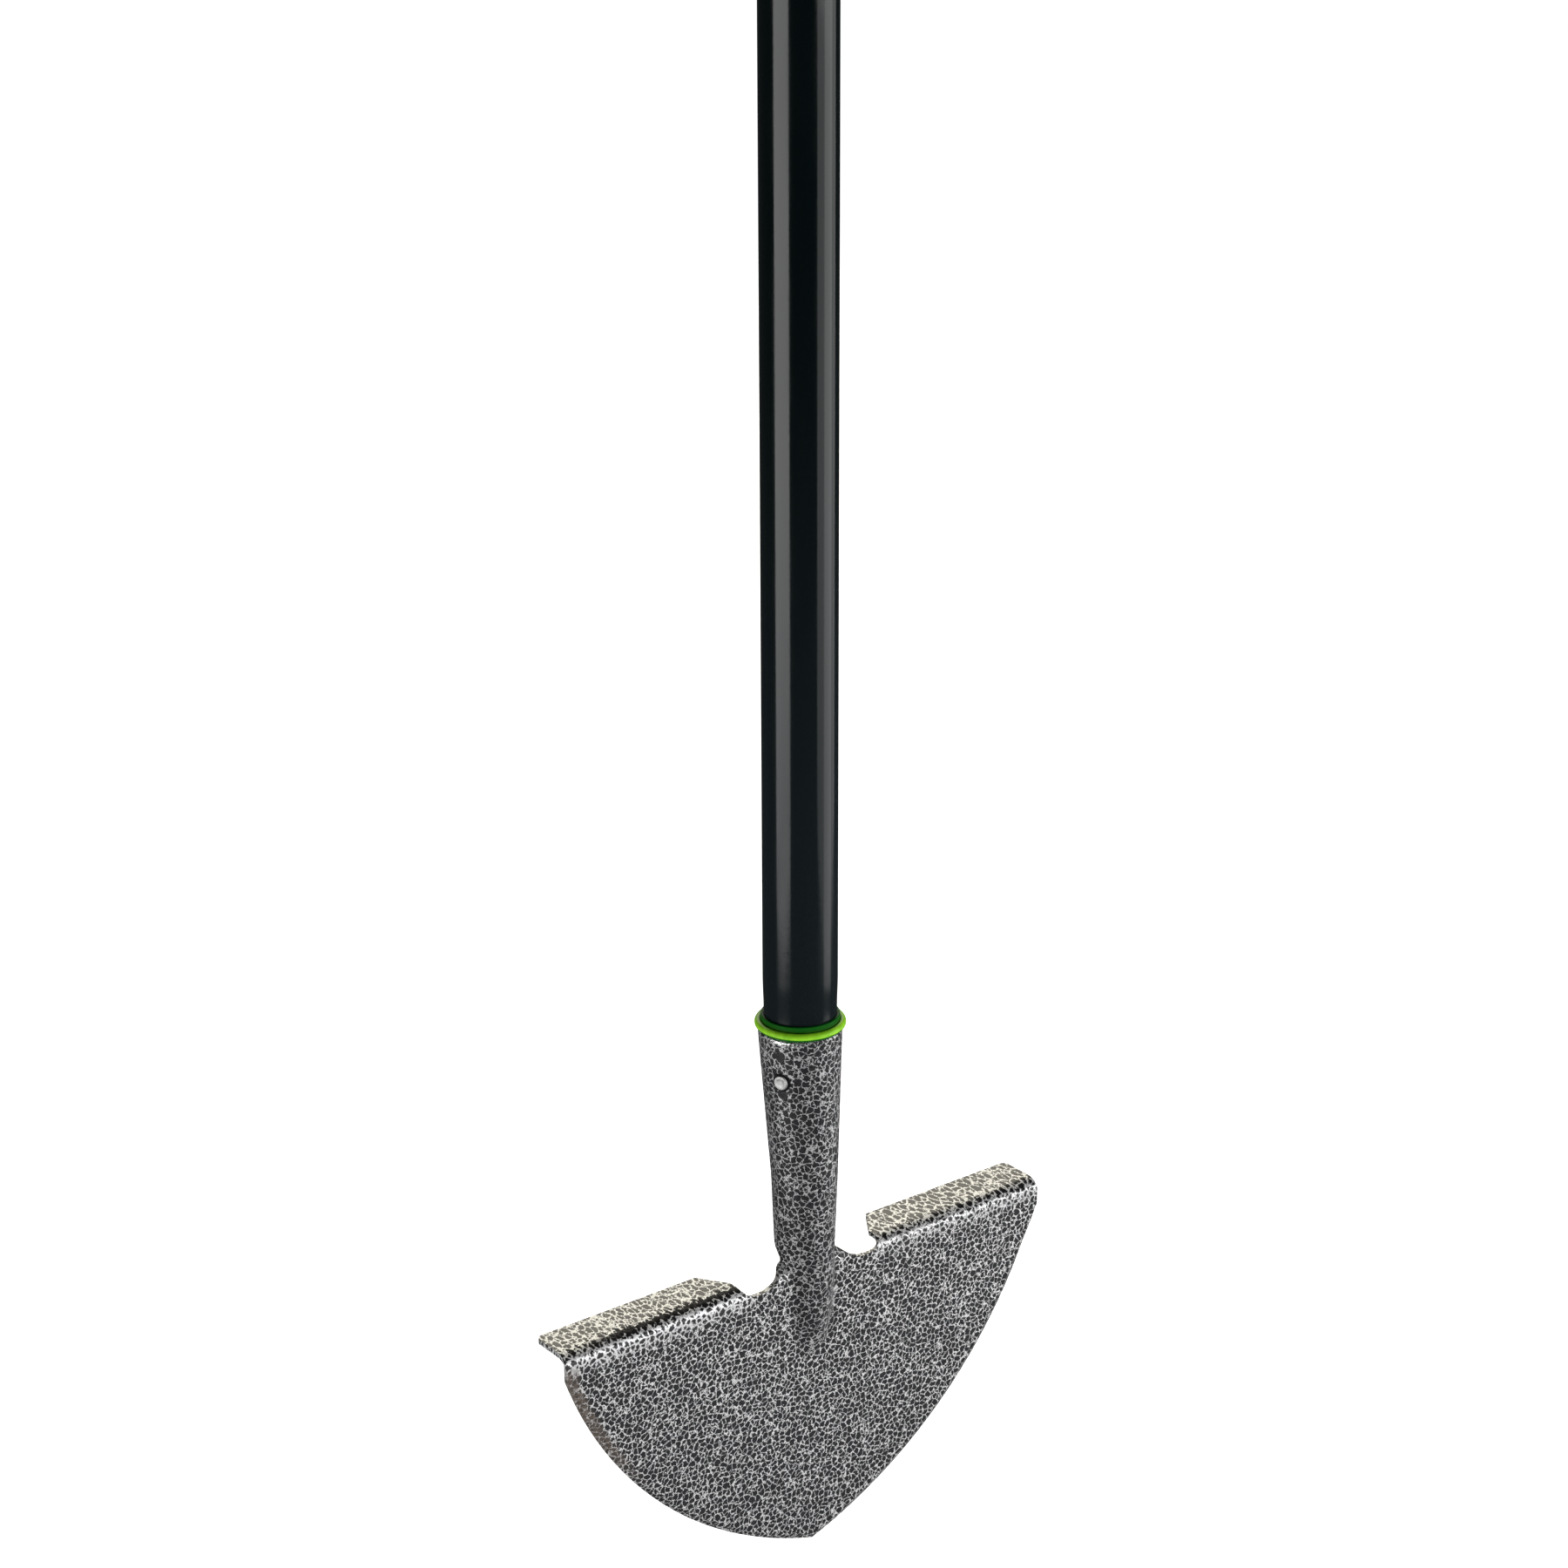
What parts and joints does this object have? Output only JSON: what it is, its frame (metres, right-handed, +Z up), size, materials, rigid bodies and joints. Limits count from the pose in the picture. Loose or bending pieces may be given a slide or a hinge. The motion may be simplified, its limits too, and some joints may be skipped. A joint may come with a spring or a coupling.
{
  "type": "half-moon lawn edging iron",
  "caption": "Half-moon steel blade with folded foot treads and a rolled socket, on a sleeved tube with a collar, hand grip and hanging eye, for cutting lawn edges.",
  "frame": {"origin": "the shaft's axis at the height of the blade's cutting tip, which is the lowest point", "axes": "+Z up the shaft from the blade to the grip, -Y out of the blade's front face, +X to the right as seen from the front"},
  "size_m": [0.22, 0.034, 0.9683],
  "materials": {
    "hammertone_paint": "silver and dark grey hammertone, glossy",
    "rivet_metal": "satin",
    "tube_steel": "bare drawn tube",
    "black_covering": "glossy near-black",
    "green_plastic": "glossy lime green",
    "grip_rubber": "matt moulded"
  },
  "bodies": {
    "root": {"edger_head": "hammertone_paint", "socket_rivet": "rivet_metal", "shaft_tube": "tube_steel", "shaft_sleeve": "black_covering", "collar": "green_plastic", "hand_grip": "grip_rubber", "end_cap": "green_plastic"}
  },
  "joints": []
}
